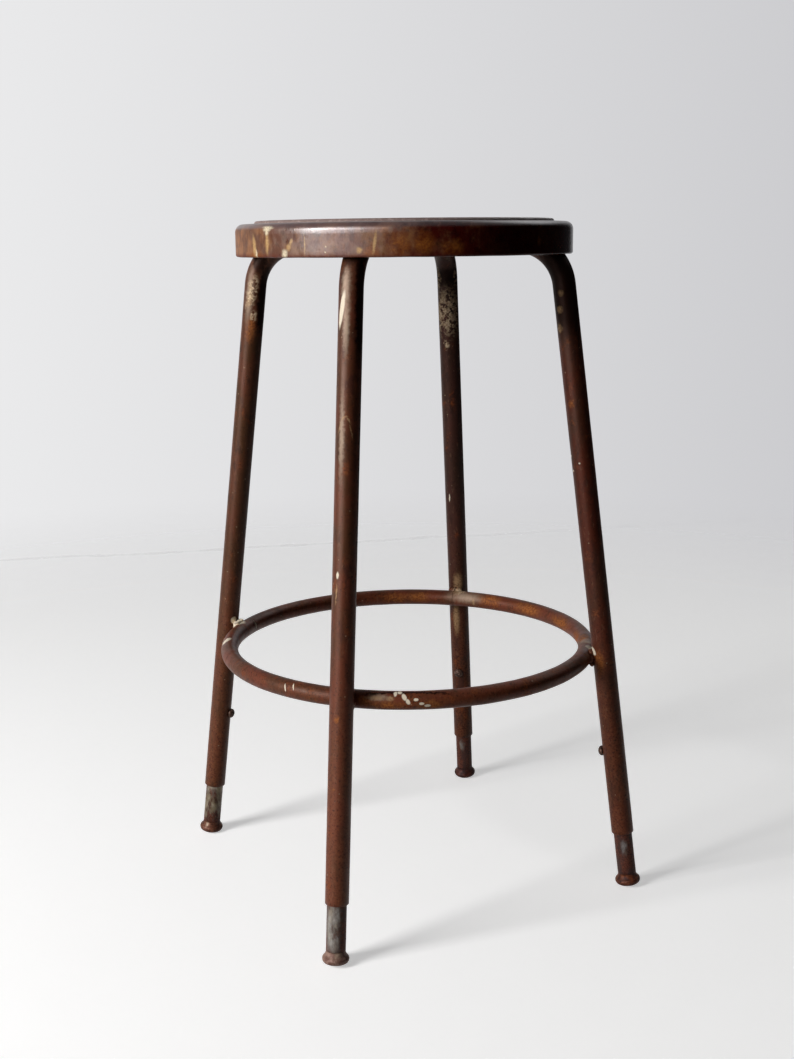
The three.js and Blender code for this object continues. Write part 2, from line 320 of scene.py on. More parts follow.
def spread(profile, step):
    """The profile with further points, so that none is much more than a step from the next."""
    points = []
    for (r0, z0), (r1, z1) in zip(profile, profile[1:]):
        parts = max(1, round(hypot(r1 - r0, z1 - z0) / step))
        points.extend((r0 + (r1 - r0) * i / parts, z0 + (z1 - z0) * i / parts) for i in range(parts))
    return points + [profile[-1]]


def circle(radius, height, sides, shape=None):
    """One ring of a turned form. shape(turn, radius, height) may move each point."""
    if radius < NEARLY_ZERO:
        return [UP * height]
    turns = [FULL_TURN * i / sides for i in range(sides)]
    return [around(turn, *(shape(turn, radius, height) if shape else (radius, height))) for turn in turns]


def turned(profile, sides, shape=None, place=None, shell=None):
    """A profile of (radius, height) turned about the axis, closed on itself unless it starts on the axis."""
    shell = shell or Shell()
    rings = [circle(r, z, sides, shape) for r, z in profile]
    if place is not None:
        rings = [[place @ point for point in ring] for ring in rings]
    shell.skin(rings, closed=profile[0][0] > NEARLY_ZERO)
    return shell


def bead(shell, path, radius, seed, sides=14):
    """A lumpy weld bead along a path: a closed sausage with a welder's ripples."""
    count = len(path)
    rings = []
    for i, point in enumerate(path):
        before, after = path[max(i - 1, 0)], path[min(i + 1, count - 1)]
        along = (after - before).normalized()
        side = along.orthogonal().normalized()
        over = along.cross(side)
        share = i / (count - 1)
        swell = sqrt(max(0.0, 1 - (2 * share - 1) ** 6))
        if swell < NEARLY_ZERO:
            rings.append([point])
            continue
        ripple = 1 + 0.09 * sin(FULL_TURN * share * count / 5)
        ring = []
        for j in range(sides):
            turn = FULL_TURN * j / sides
            out = side * cos(turn) + over * sin(turn)
            reach = radius * swell * ripple * (1 + 0.3 * lump(point + out * radius, radius * 1.3, seed))
            ring.append(point + out * reach)
        rings.append(ring)
    shell.skin(rings)


def cut(piece, cutter):
    """Takes the cutter's solid out of a piece, and removes the cutter."""
    modifier = piece.modifiers.new("cut", "BOOLEAN")
    modifier.operation = "DIFFERENCE"
    modifier.solver = "EXACT"
    modifier.object = cutter
    bpy.context.view_layer.update()
    evaluated = piece.evaluated_get(bpy.context.evaluated_depsgraph_get())
    piece.data = bpy.data.meshes.new_from_object(evaluated)
    piece.modifiers.clear()
    bpy.data.objects.remove(cutter)
    return piece


def ends(piece, material, body, node):
    """Names and paints a finished piece, and puts it on its body in place of its CAD node."""
    piece.name = node + "_dressed"
    piece.data.materials.append(material)
    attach(piece, body)
    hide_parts(node)


# Materials

def paint(code):
    """A colour written as #rrggbb, in linear values."""
    channels = [int(code[i:i + 2], 16) / 255 for i in (1, 3, 5)]
    linear = [c / 12.92 if c <= 0.04045 else ((c + 0.055) / 1.055) ** 2.4 for c in channels]
    return (*linear, 1.0)


class Nodes:
    """Builds a node tree. An input is an output, a number, a vector or a colour as #rrggbb."""

    def __init__(self, tree):
        self.tree = tree

    def node(self, kind, inputs=None, out=0, **settings):
        """Adds a node and returns its output of this name or number."""
        made = self.tree.nodes.new(kind)
        for key, value in settings.items():
            setattr(made, key, value)
        for key, value in (inputs or {}).items():
            self.put(made.inputs[key], value)
        return made.outputs[out]

    def put(self, socket, value):
        if isinstance(value, bpy.types.NodeSocket):
            self.tree.links.new(value, socket)
        else:
            socket.default_value = paint(value) if isinstance(value, str) else value

    def maths(self, operation, *values):
        return self.node("ShaderNodeMath", dict(enumerate(values)), operation=operation)

    def times(self, a, b):
        return self.maths("MULTIPLY", a, b)

    def vector(self, operation, *values, out=0):
        return self.node("ShaderNodeVectorMath", dict(enumerate(values)), out, operation=operation)

    def towards(self, direction):
        """How far the place lies in this direction."""
        return self.vector("DOT_PRODUCT", self.place, direction, out="Value")

    def height(self):
        return self.node("ShaderNodeSeparateXYZ", {0: self.place}, "Z")

    def step(self, value, low, high, to_low=0.0, to_high=1.0, kind="SMOOTHSTEP"):
        inputs = {"Value": value, "From Min": low, "From Max": high, "To Min": to_low, "To Max": to_high}
        return self.node("ShaderNodeMapRange", inputs, interpolation_type=kind)

    def blend(self, share, a, b):
        return self.node("ShaderNodeMix", {0: share, 2: a, 3: b}, data_type="FLOAT")

    def mix(self, share, a, b, kind="MIX"):
        return self.node("ShaderNodeMix", {0: share, 6: a, 7: b}, 2, data_type="RGBA", blend_type=kind)

    def shade(self, value, a, b, low=0.35, high=0.65, most=1.0):
        """Colour a where the value is low, and as far as most of the way to colour b where it is high."""
        return self.mix(self.step(value, low, high, 0.0, most), a, b)

    def rays(self):
        """1 for rays of the eye, 1 for rays of gloss, and 1 for both and for rays through glass."""
        path = self.node("ShaderNodeLightPath").node.outputs
        eye, gloss = path["Is Camera Ray"], path["Is Glossy Ray"]
        seen = self.maths("MAXIMUM", eye, gloss)
        return eye, gloss, self.maths("MAXIMUM", seen, path["Is Transmission Ray"])


class Finish(Nodes):
    """A material being built from nodes, on the object's own coordinates."""

    def __init__(self, name):
        self.material = bpy.data.materials.new(name)
        self.material.use_nodes = True
        super().__init__(self.material.node_tree)
        self.shader = self.tree.nodes["Principled BSDF"]
        self.place = self.node("ShaderNodeTexCoord", out="Object")

    def stretched(self, *stretch):
        return self.node("ShaderNodeMapping", {"Vector": self.place, "Scale": stretch})

    def noise(self, size, detail=4.0, rough=0.55, place=None, out="Fac"):
        inputs = {"Vector": place or self.place, "Scale": 1 / size, "Detail": detail, "Roughness": rough}
        return self.node("ShaderNodeTexNoise", inputs, out)

    def specks(self, apart, high, low):
        """Round specks, one to a cell of this size."""
        cells = self.node("ShaderNodeTexVoronoi", {"Vector": self.place, "Scale": 1 / apart}, "Distance")
        return self.step(cells, high, low)

    def marks(self, marks, ragged, soft, share=None):
        """Where any of the marks lies, with edges this ragged and soft, thinned by any share."""
        wander = self.vector("SUBTRACT", self.noise(MARK_WANDER_SIZE, out="Color"), (0.5, 0.5, 0.5))
        reach = self.node("ShaderNodeVectorMath", {0: wander, 3: ragged}, operation="SCALE")
        place = self.vector("ADD", self.place, reach)
        whole = None
        for mark in marks:
            inputs = {0: place, "Location": mark.centre, "Rotation": mark.turn, "Scale": mark.half_sizes}
            inside = self.node("ShaderNodeMapping", inputs, vector_type="TEXTURE")
            here = self.step(self.vector("LENGTH", inside, out="Value"), 1.0, soft)
            whole = here if whole is None else self.maths("MAXIMUM", whole, here)
        return whole if share is None else self.times(whole, share)

    def lay(self, share, colour):
        """Lays a further colour over what is there."""
        self.colour = self.mix(share, self.colour, colour)

    def cover(self, value, colour, low, high, most=1.0):
        self.colour = self.shade(value, self.colour, colour, low, high, most)

    def lay_marks(self, marks, colour, ragged, soft, share):
        where = self.marks(marks, ragged, soft, share)
        self.lay(where, colour)
        return where

    def bumps(self, *layers):
        """Bump layers of (height, strength, distance), each over the one before."""
        inputs = {}
        for height, strength, distance in layers:
            inputs.update({"Height": height, "Strength": strength, "Distance": distance})
            inputs["Normal"] = self.node("ShaderNodeBump", inputs)
        self.put(self.shader.inputs["Normal"], inputs["Normal"])

    def finish(self, roughness, gloss, metallic=0.0, tint="#ffffff"):
        names = ("Base Color", "Roughness", "Metallic", "Specular IOR Level", "Specular Tint")
        for name, value in zip(names, (self.colour, roughness, metallic, gloss, tint)):
            self.put(self.shader.inputs[name], value)
        return self.material


class Mark:
    """A scrape, drip or patch on a surface, as an ellipsoid. Its sizes are in millimetres and its slant is in
    degrees, as in the tables of wear."""

    def __init__(self, centre, facing, along, half_length, half_width, slant=0, depth=6):
        facing = facing.normalized()
        across = along.cross(facing).normalized()
        upright = Matrix((across, facing.cross(across), facing)).transposed()
        self.centre = centre
        self.turn = (upright @ Matrix.Rotation(radians(-slant), 3, "Z")).to_euler()
        self.half_sizes = Vector((half_width, half_length, depth)) * MM


def leg_mark(site, height, across, *sizes):
    """A mark on a leg's side that the photograph shows, this far to the right of its middle."""
    centre = site.centre_at(height * MM)
    sight = Vector(CAMERA_PLACE) - centre
    along = (site.centre_at(height * MM + 0.01) - centre).normalized()
    right = along.cross(sight).normalized()
    across *= MM
    facing = right * across + right.cross(along) * sqrt(max(0.0, LEG_RADIUS ** 2 - across ** 2))
    return Mark(centre + facing, facing, along, *sizes)


def apron_mark(turn, height, *sizes):
    """A mark on the seat's apron, at this turn in degrees."""
    facing = around(radians(turn))
    return Mark(facing * seat_radius + UP * height * MM, facing, UP, *sizes)


def ring_mark(turn, roll, *sizes):
    """A mark on the footrest ring: roll is 0 on the outside, 90 on top. Its length runs round the tube."""
    out, over = around(radians(turn)), radians(roll)
    facing = out * cos(over) + UP * sin(over)
    along = UP * cos(over) - out * sin(over)
    return Mark(out * ring_radius + UP * ring_height + facing * RING_TUBE_RADIUS, facing, along, *sizes)


def placed(wear, place, *where):
    """A table of wear with its tuples turned into marks."""
    return {kind: [place(*where, *mark) for mark in marks] for kind, marks in wear.items()}


def worn_enamel(name, streak, wear, rust, gloss, brown, olive, dark="#200804"):
    """Old brown enamel over steel, mottled, pitted and rusting more towards the feet. wear holds lists of
    marks: near-black painted shade, pale sheen that is partly painted highlight, fresh rust, tan stains,
    patches of speckled paint and bright scrapes."""
    f = Finish(name)
    long = f.stretched(*streak)
    mottle = f.noise(0.026, 6, 0.62, long)
    patch = f.noise(0.009, 5, 0.62, long)
    fine = f.noise(0.0022, 3, 0.6)
    f.colour = f.shade(mottle, brown, olive, 0.4, 0.62)
    f.cover(patch, dark, 0.5, 0.68, 0.8)
    low = f.times(f.step(f.height(), 0.4, 0.12), f.step(patch, 0.35, 0.6, 0.15, 0.6))
    f.lay(low, f.shade(fine, "#582b19", "#75432a"))
    bloom_from = 0.62 - 0.16 * rust
    bloom = f.step(f.noise(0.018, 6, 0.65, f.stretched(1.2, 1.2, 0.8)), bloom_from, bloom_from + 0.18)
    f.lay(f.times(bloom, 0.7), f.shade(fine, "#4f2410", "#7f4220"))
    f.cover(fine, "#140704", 0.42, 0.3, 0.75)
    f.cover(f.noise(0.0035, 4, 0.7, f.stretched(1, 1, 0.4)), "#7c5c48", 0.56, 0.72, 0.3)
    f.lay(f.times(f.specks(0.014, 0.075, 0.045), 0.4), "#a58e74")
    rough = f.blend(bloom, f.step(patch, 0.3, 0.7, 0.38, 0.5), 0.6)
    rough = f.blend(low, rough, 0.55)
    # Painted shade: near-black marks on the legs' shaded right sides and where the seat shades their tops,
    # and a thin line along the ring's top, with their gloss taken down.
    if "dark" in wear:
        painted_shade = f.lay_marks(wear["dark"], "#0f0605", 0.008, 0.55, 0.85)
        gloss = f.blend(painted_shade, gloss, 0.04)
    # Pale marks: on the legs' lit left sides they are painted highlight, and about the ring's welds they are
    # pale patches.
    if "haze_and_sheen" in wear:
        f.lay_marks(wear["haze_and_sheen"], "#a8927d", 0.006, 0.0, f.step(patch, 0.3, 0.62, 0.55, 0.95))
    if "rust" in wear:
        orange = f.shade(fine, "#74401f", "#a4622f")
        spots = f.lay_marks(wear["rust"], orange, 0.008, 0.1, f.step(patch, 0.3, 0.52, 0.25, 0.85))
        rough = f.blend(spots, rough, 0.75)
    if "stains" in wear:
        f.lay_marks(wear["stains"], "#a3825f", 0.003, 0.2, f.step(fine, 0.25, 0.6, 0.3, 0.9))
    if "patches" in wear:
        flakes = f.marks(wear["patches"], 0.008, 0.3, f.step(f.noise(0.005, 3, 0.6), 0.43, 0.52))
        f.lay(f.times(flakes, 0.9), f.shade(fine, "#a2866a", "#e3caa8"))
        rough = f.blend(flakes, rough, 0.65)
    if "scrapes" in wear:
        scrapes = f.marks(wear["scrapes"], 0.0015, 0.6)
        f.lay(f.times(scrapes, f.step(fine, 0.2, 0.42, 0.7, 1.0)), "#ecdfc8")
        rough = f.blend(scrapes, rough, 0.5)
    f.bumps((mottle, 0.25, 0.0004), (patch, 0.25, 0.00025), (fine, 0.35, 0.0002))
    return f.finish(rough, gloss, tint="#ffdccc")


def seat_enamel(wear):
    """The seat's enamel: golden brown with drips and pale streaks to the left, nearly black to the right.
    The lighter window side and near-black far side are partly painted light and shade over real wear, the
    pale streaks are painted highlight and the band along the shoulder is painted reflection.
    """
    f = Finish("seat_enamel")
    mottle = f.noise(0.02, 6, 0.62, f.stretched(1, 1, 0.8))
    patch = f.noise(0.008, 5, 0.62)
    fine = f.noise(0.0018, 3, 0.6)
    streaks = f.noise(0.0065, 5, 0.66, f.stretched(1, 1, 0.55))
    # Painted light and shade: the apron goes from near black on the side away from the window to lighter
    # brown towards it, over the real wear on the left, and the lit side also takes more rust bloom and a
    # redder hem.
    side = f.maths("ADD", f.towards(SEAT_LIT_SIDE), f.step(mottle, 0.3, 0.7, -0.04, 0.04))
    worn = f.step(side, 0.085, 0.15)
    shine = f.maths("ADD", f.towards(SEAT_GLOSSY_SIDE), f.step(patch, 0.3, 0.7, -0.004, 0.004))
    shine = f.step(shine, 0.156, 0.174)
    f.colour = f.mix(worn, "#400c07", "#5c3625")
    f.cover(patch, f.mix(worn, "#260605", "#412718"), 0.46, 0.66, 0.8)
    f.cover(mottle, f.mix(worn, "#4e1d0d", "#7d5636"), 0.5, 0.66, 0.75)
    bloom = f.step(f.noise(0.017, 6, 0.68), 0.5, 0.66)
    f.lay(f.times(bloom, f.blend(worn, 0.12, 0.6)), f.shade(fine, "#784a2b", "#8f5f3a"))
    golden = f.shade(mottle, "#65483a", "#95694b", 0.42, 0.58)
    f.cover(f.towards(SEAT_LEFT_END), golden, 0.158, 0.173, 0.75)
    # Painted highlight: pale streaks laid over the apron where it takes the window's gloss, and a little over
    # the rest of the lit side.
    haze_and_sheen = f.blend(shine, f.blend(worn, 0.0, 0.14), 0.28)
    f.lay(f.times(f.step(streaks, 0.45, 0.66), haze_and_sheen), "#9c7f6c")
    # Painted reflection: a band along the top of the shoulder, dark on the far side and lilac grey towards
    # the window.
    crown = f.step(f.height(), rim_height - 0.0066, rim_height - 0.003)
    f.lay(f.times(crown, 0.6), f.mix(worn, "#1f1212", "#55464a"))
    low = f.step(f.height(), hem_height + 0.006, hem_height)
    f.lay(f.times(low, f.blend(worn, 0.2, 0.75)), "#5f2413")
    orange = f.shade(fine, "#77401b", "#965822", 0.3, 0.7)
    f.lay_marks(wear["rust"], orange, 0.01, 0.0, f.step(patch, 0.3, 0.56, 0.2, 0.85))
    f.lay_marks(wear["stains"], "#c09a69", 0.003, 0.2, f.step(fine, 0.25, 0.6, 0.55, 1.0))
    drips = f.lay_marks(wear["drips"], "#e2d2b2", 0.004, 0.1, f.step(fine, 0.3, 0.52, 0.55, 1.0))
    rough = f.blend(shine, f.step(side, 0.04, 0.16, 0.2, 0.55), f.step(streaks, 0.35, 0.65, 0.24, 0.36))
    rough = f.blend(drips, f.blend(crown, rough, 0.3), 0.5)
    band = f.times(shine, f.step(f.height(), rim_height - 0.0116, rim_height - 0.009))
    gloss = f.blend(crown, f.blend(band, f.blend(shine, 0.08, 0.38), 0.75), 0.45)
    f.bumps((mottle, 0.35, 0.0006), (patch, 0.3, 0.0004), (streaks, 0.15, 0.0003), (fine, 0.3, 0.00015))
    return f.finish(rough, gloss)


def zinc(name, bare, rise, grey="#77736a", patches=()):
    """Dull zinc plate browned by rust: bare is the share that is rust, rise is the height up to which rust
    has crept from the foot, and patches are what stays grey."""
    f = Finish(name)
    long = f.stretched(1, 1, 0.45)
    cloud = f.noise(0.01, 5, 0.62, long)
    stain = f.noise(0.006, 5, 0.65, long)
    fine = f.noise(0.0015, 3, 0.6)
    f.colour = f.shade(cloud, "#5b5149", grey)
    f.cover(stain, "#a89c8a", 0.5, 0.64, 0.5)
    bloom_from = 0.66 - 0.34 * bare
    bloom = f.step(f.noise(0.016, 6, 0.65, long), bloom_from, bloom_from + 0.14)
    ragged = f.maths("ADD", f.height(), f.step(stain, 0.3, 0.7, 0.01, -0.01))
    bloom = f.maths("MAXIMUM", bloom, f.step(ragged, rise + 0.006, rise - 0.006))
    rusty = f.shade(cloud, f.shade(fine, "#38170f", "#643423"), "#240c08", 0.45, 0.6, 0.7)
    if patches:
        rusty = f.mix(f.marks(patches, 0.004, 0.3, f.step(stain, 0.32, 0.52, 0.35, 0.9)), rusty, f.colour)
    f.lay(f.times(bloom, 0.95), rusty)
    f.bumps((cloud, 0.2, 0.0003), (fine, 0.3, 0.00012))
    return f.finish(f.blend(bloom, 0.42, 0.55), f.blend(bloom, 0.35, 0.15), f.blend(bloom, 0.25, 0.0))


def rusted_steel(name, low, high, metal=0.1, size=0.006, marks=()):
    """Bare steel gone brown and matt, with pits, and paler where the marks lie. On the glides the marks sit
    where the highlight falls, so they are partly painted highlight.
    """
    f = Finish(name)
    cloud = f.noise(size, 5, 0.62)
    fine = f.noise(0.0012, 3, 0.6)
    f.colour = f.shade(cloud, low, high)
    if marks:
        f.lay_marks(marks, "#b7a48c", 0.004, 0.0, f.step(fine, 0.3, 0.6, 0.4, 0.9))
    f.cover(fine, "#180b08", 0.42, 0.28, 0.7)
    f.bumps((cloud, 0.25, 0.0003), (fine, 0.35, 0.00015))
    return f.finish(f.step(cloud, 0.3, 0.7, 0.62, 0.46), 0.2, metal)


def hardboard():
    """Dark pressed board, worn satin, with fine scratches, old drips of paint and a paler rim, whose colour
    is painted reflection.
    """
    f = Finish("hardboard")
    cloud = f.noise(0.05, 5, 0.6)
    fibre = f.noise(0.0012, 3, 0.7)
    scratch = f.noise(0.006, 4, 0.6, f.stretched(0.08, 1.6, 1))
    f.colour = f.shade(cloud, "#432a1c", "#6a4a33")
    f.cover(fibre, "#7a6552", 0.38, 0.62, 0.45)
    f.cover(scratch, "#8d7862", 0.66, 0.74, 0.5)
    f.lay(f.specks(0.045, 0.05, 0.035), "#c4b190")
    # Painted reflection: the rim is laid pale grey on the side away from the window and lilac grey towards
    # it, with more gloss away from the window.
    side = f.towards(SEAT_LIT_SIDE)
    edge = f.shade(side, "#b5afab", "#84716c", -0.02, 0.1)
    edge = f.shade(f.noise(0.005, 4, 0.6), edge, "#a8968f", 0.5, 0.66, 0.6)
    far = f.vector("LENGTH", f.vector("MULTIPLY", f.place, (1.0, 1.0, 0.0)), out="Value")
    rim = f.step(far, board_high.x - 0.004, board_high.x - 0.001)
    f.lay(rim, edge)
    rough = f.blend(rim, f.step(cloud, 0.3, 0.7, 0.42, 0.62), 0.62)
    f.bumps((fibre, 0.3, 0.0002), (scratch, 0.2, 0.0002))
    return f.finish(rough, f.blend(rim, 0.4, f.step(side, 0.0, 0.1, 0.9, 0.12)))


# Seat

def pan_face(depth):
    """One face of the pressed sheet, this deep below the outer one, from the middle out to the hem."""
    rim_bend = PAN_SHEET + PRESSED_BEND
    inner = (recess_radius - PRESSED_BEND, recess_floor + PRESSED_BEND)
    rim = (recess_radius + rim_bend, rim_height - rim_bend)
    shoulder = (seat_radius - SHOULDER_RADIUS, rim_height - SHOULDER_RADIUS)
    hem = (seat_radius - HEM_BEND_RADIUS, hem_height + HEM_BEND_RADIUS)
    return [
        (0.0, recess_floor - depth),
        *arc(inner, PRESSED_BEND + depth, -QUARTER_TURN, 0, 5),
        *arc(rim, rim_bend - depth, 2 * QUARTER_TURN, QUARTER_TURN, 6),
        *arc(shoulder, SHOULDER_RADIUS - depth, QUARTER_TURN, 0, 14),
        *arc(hem, HEM_BEND_RADIUS - depth, 0, -QUARTER_TURN, 8),
        (seat_radius - HEM_BEND_RADIUS - HEM_WIDTH, hem_height + depth),
    ]


def pan_wear(turn, radius, height):
    """Shallow dents outside the recess and a slightly wavy lower edge, always inwards."""
    point = around(turn, radius, height)
    share = clamp((radius - recess_radius - 0.004) / 0.006)
    low = clamp((hem_height + 0.008 - height) / 0.008)
    radius -= share * (dent(point, 0.00035, 0.035) + dent(point, 0.00015, 0.011, 7))
    return radius, height + share * low * dent(point, 0.0005, 0.03, 3)


def seat_pan():
    face, back = spread(pan_face(0.0), PAN_STEP), spread(pan_face(PAN_SHEET), PAN_STEP)
    shell = turned(face + back[::-1], SEAT_SIDES, pan_wear)
    end, root = nut_low.z - STUD_TAIL, pan_underside + PAN_SHEET / 2
    steps = round((plate_low.z - end) / (THREAD_PITCH / 8))
    stem = [(0.0, end), (STUD_RADIUS - THREAD_DEPTH, end)]
    stem += [(STUD_RADIUS, end + THREAD_PITCH / 2 + (plate_low.z - end) * k / steps) for k in range(steps)]
    stem += [(STUD_RADIUS, plate_low.z + 2 * PLATE_EDGE), (STUD_RADIUS, root), (0.0, root)]

    def threaded(turn, radius, height):
        if end < height < plate_low.z:
            share = (height / THREAD_PITCH - turn / FULL_TURN) % 1.0
            radius = STUD_RADIUS - THREAD_DEPTH * abs(2 * share - 1)
        return radius, height

    for place in stud_places.values():
        turned(stem, STUD_SIDES, threaded, place, shell)
    return shell.piece()


def board_wear(turn, radius, height):
    """Nicks and a slight waviness of the outer edge."""
    point = around(turn, radius, height)
    edge = clamp((radius - board_high.x + 0.004) / 0.004)
    nick = max(0.0, lump(point, 0.006, 5) - 0.25) * 0.0012 * edge
    return radius - nick - edge * dent(point, 0.0002, 0.03), height - nick * 0.3


def seat_board():
    radius, foot, top = board_high.x, board_low.z, board_high.z
    corner = (radius - BOARD_EDGE_RADIUS, top - BOARD_EDGE_RADIUS)
    profile = [(0.0, foot), (radius - PRESSED_BEND, foot), (radius, foot + PRESSED_BEND)]
    profile += [*arc(corner, BOARD_EDGE_RADIUS, 0, QUARTER_TURN, 8), (0.0, top)]
    return turned(spread(profile, FINE_STEP), SEAT_SIDES, board_wear).piece()


# Plate and fasteners under the seat

def leg_plate():
    """A disc with a bore and four stud holes, its edges broken, and the legs' weld beads."""
    shell = Shell()
    low, high = plate_low.z, plate_high.z
    # Each loop's middle, radius and sides, and 1 for the rim or -1 for a hole
    loops = [(Vector(), plate_high.x, 160, 1), (Vector(), PLATE_BORE_RADIUS, 64, -1)]
    loops += [(around(i * QUARTER_TURN, STUD_CIRCLE_RADIUS), STUD_HOLE_RADIUS, 28, -1) for i in range(4)]
    tops, bottoms = [], []
    for middle, radius, sides, out in loops:
        inset = radius - out * PLATE_EDGE
        levels = [(inset, high), (radius, high - PLATE_EDGE), (radius, low + PLATE_EDGE), (inset, low)]
        made = [shell.ring([point + middle for point in circle(r, z, sides)]) for r, z in levels]
        for a, b in zip(made, made[1:]):
            shell.bridge(a, b)
        tops.append(made[0])
        bottoms.append(made[-1])
    for outline in (tops, bottoms):
        index = [i for loop in outline for i in loop]
        flat = [shell.points[i].xy for i in index]
        edges, start = [], 0
        for loop in outline:
            edges += [(start + k, start + (k + 1) % len(loop)) for k in range(len(loop))]
            start += len(loop)
        for face in delaunay_2d_cdt(flat, edges, [], 0, SAME_POINT)[2]:
            centre = sum((flat[k] for k in face), Vector((0, 0))) / len(face)
            if not any((centre - middle.xy).length < radius for middle, radius, _, out in loops if out < 0):
                shell.faces.append([index[k] for k in face])
    height = low - PLATE_BEAD_RADIUS * 0.45
    reach = (PLATE_BEAD_TO - PLATE_BEAD_FROM) / PLATE_BEAD_STEPS
    for site in sites:
        for side in (-1, 1):
            path = [Vector((PLATE_BEAD_FROM + reach * k, side * PLATE_BEAD_OFFSET, height))
                    for k in range(PLATE_BEAD_STEPS + 1)]
            bead(shell, [site.plane @ point for point in path], PLATE_BEAD_RADIUS, site.turn + side)
    return shell.piece()


def sleeve(bore, radius, low, high, edge):
    """The profile of a tube or washer whose outer edges are broken."""
    below = [(bore, low), (radius - edge, low), (radius, low + edge)]
    return below + [(radius, high - edge), (radius - edge, high), (bore, high)]


def washer(name):
    radius = (washer_high.x - washer_low.x) / 2
    profile = sleeve(STUD_HOLE_RADIUS, radius, washer_low.z, washer_high.z, PLATE_EDGE / 2)
    return turned(profile, 40, None, stud_places[name]).piece(50)


def nut(name):
    """A hexagon nut whose corners are chamfered on both faces."""
    flat = NUT_ACROSS_FLATS / 2
    low, high = nut_low.z, nut_high.z
    sixth = FULL_TURN / 6
    steps = 12

    def hexagon(turn, radius, height):
        if radius < flat:
            return radius, height
        side = flat / cos(turn % sixth - sixth / 2)
        depth = min(height - low, high - height)
        return min(side, flat * 0.97 + depth * 1.8), height

    profile = [(STUD_HOLE_RADIUS, low), (flat * 0.9, low)]
    profile += [(flat * 1.2, low + (high - low) * k / steps) for k in range(steps + 1)]
    profile += [(flat * 0.9, high), (STUD_HOLE_RADIUS, high)]
    return turned(profile, 72, hexagon, stud_places[name]).piece(30)


# Legs

def leg_path(site):
    """Points and directions of a leg's centre line in its own plane, from the inner end to the foot."""
    splay = site.splay
    bend_height = leg_run_height - LEG_BEND_RADIUS
    bend_foot = bend_height + LEG_BEND_RADIUS * sin(splay)
    bend_x = site.radius_at(bend_foot) - LEG_BEND_RADIUS * cos(splay)
    foot = Vector((site.radius_at(LEG_FOOT_HEIGHT), 0, LEG_FOOT_HEIGHT))
    path = []
    run_steps, bend_steps, leg_steps = 16, 30, 130
    for i in range(run_steps):
        radius = LEG_INNER_END_RADIUS + (bend_x - LEG_INNER_END_RADIUS) * i / run_steps
        path.append((Vector((radius, 0, leg_run_height)), Vector((1, 0, 0))))
    for i in range(bend_steps + 1):
        turn = QUARTER_TURN + (splay - QUARTER_TURN) * i / bend_steps
        out = Vector((cos(turn), 0, sin(turn)))
        point = Vector((bend_x, 0, bend_height)) + out * LEG_BEND_RADIUS
        path.append((point, Vector((sin(turn), 0, -cos(turn)))))
    start, down = path[-1]
    length = (foot - start).length
    path += [(start + down * length * i / leg_steps, down) for i in range(1, leg_steps + 1)]
    return path


def tube_ring(site, point, along, radius, wobble=0.0):
    side = Vector((0, 1, 0))
    over = along.cross(side)
    ring = []
    for i in range(TUBE_SIDES):
        turn = FULL_TURN * i / TUBE_SIDES
        out = side * cos(turn) + over * sin(turn)
        reach = radius - dent(point + out * radius, wobble, 0.02, site.turn)
        ring.append(site.plane @ (point + out * reach))
    return ring


def leg(site):
    """The tube with its wall, a filed lower lip and the hole for its lock screw."""
    path = leg_path(site)
    lip = LEG_WALL * 0.3
    bore = LEG_RADIUS - LEG_WALL
    foot, down = path[-1]
    rings = [tube_ring(site, *place, LEG_RADIUS, 0.00012) for place in path[:-1]]
    for back, radius in ((lip, LEG_RADIUS), (0, LEG_RADIUS - lip), (0, bore + lip), (lip, bore)):
        rings.append(tube_ring(site, foot - down * back, down, radius))
    rings += [tube_ring(site, *place, bore) for place in path[-6::-6] + path[:1]]
    shell = Shell()
    shell.skin(rings, closed=True)
    made = shell.piece(50)
    inner, outer = LEG_RADIUS * 0.5, LEG_RADIUS * 1.5
    hole = [(0, inner), (LOCK_HOLE_RADIUS, inner), (LOCK_HOLE_RADIUS, outer), (0, outer)]
    return cut(made, turned(hole, 32, None, site.screw_axis).piece())


# Footrest ring

def spatter(site, shell):
    """Nuggets of weld metal that were left standing on top of one joint."""
    chance = random.Random(SPATTER_SEED)
    for _ in range(SPATTER_COUNT):
        size = chance.uniform(0.0016, 0.0032)
        across = chance.uniform(-0.001, 0.012)
        out = chance.uniform(0.002, 0.0085)
        over = sqrt(RING_TUBE_RADIUS ** 2 - out ** 2) + size * chance.uniform(0.1, 0.8)
        middle = site.plane @ Vector((ring_radius + out, across, ring_height + over))
        bead(shell, [middle + UP * (size * (k / 4 - 1)) for k in range(9)], size, across * 1000, 10)


def ring_section(turn, radius, wobble=0.0):
    out = around(turn)
    ring = []
    for j in range(RING_TUBE_SIDES):
        over = FULL_TURN * j / RING_TUBE_SIDES
        way = out * cos(over) + UP * sin(over)
        reach = radius - dent(out * ring_radius + way * radius, wobble, 0.016)
        ring.append(UP * ring_height + out * ring_radius + way * reach)
    return ring


def ring_bead(site, level, rise):
    """The path of a bead above or below the ring, in the corner between tube and leg."""
    height = ring_height + level * rise
    tube_face = ring_radius + sqrt(RING_TUBE_RADIUS ** 2 - rise ** 2)
    path = []
    for k in range(RING_BEAD_STEPS + 1):
        across = RING_BEAD_HALF_LENGTH * (2 * k / RING_BEAD_STEPS - 1)
        leg_face = site.radius_at(height) - sqrt(LEG_RADIUS ** 2 - across ** 2 * 0.98)
        path.append(site.plane @ Vector(((leg_face + tube_face) / 2, across, height)))
    return path


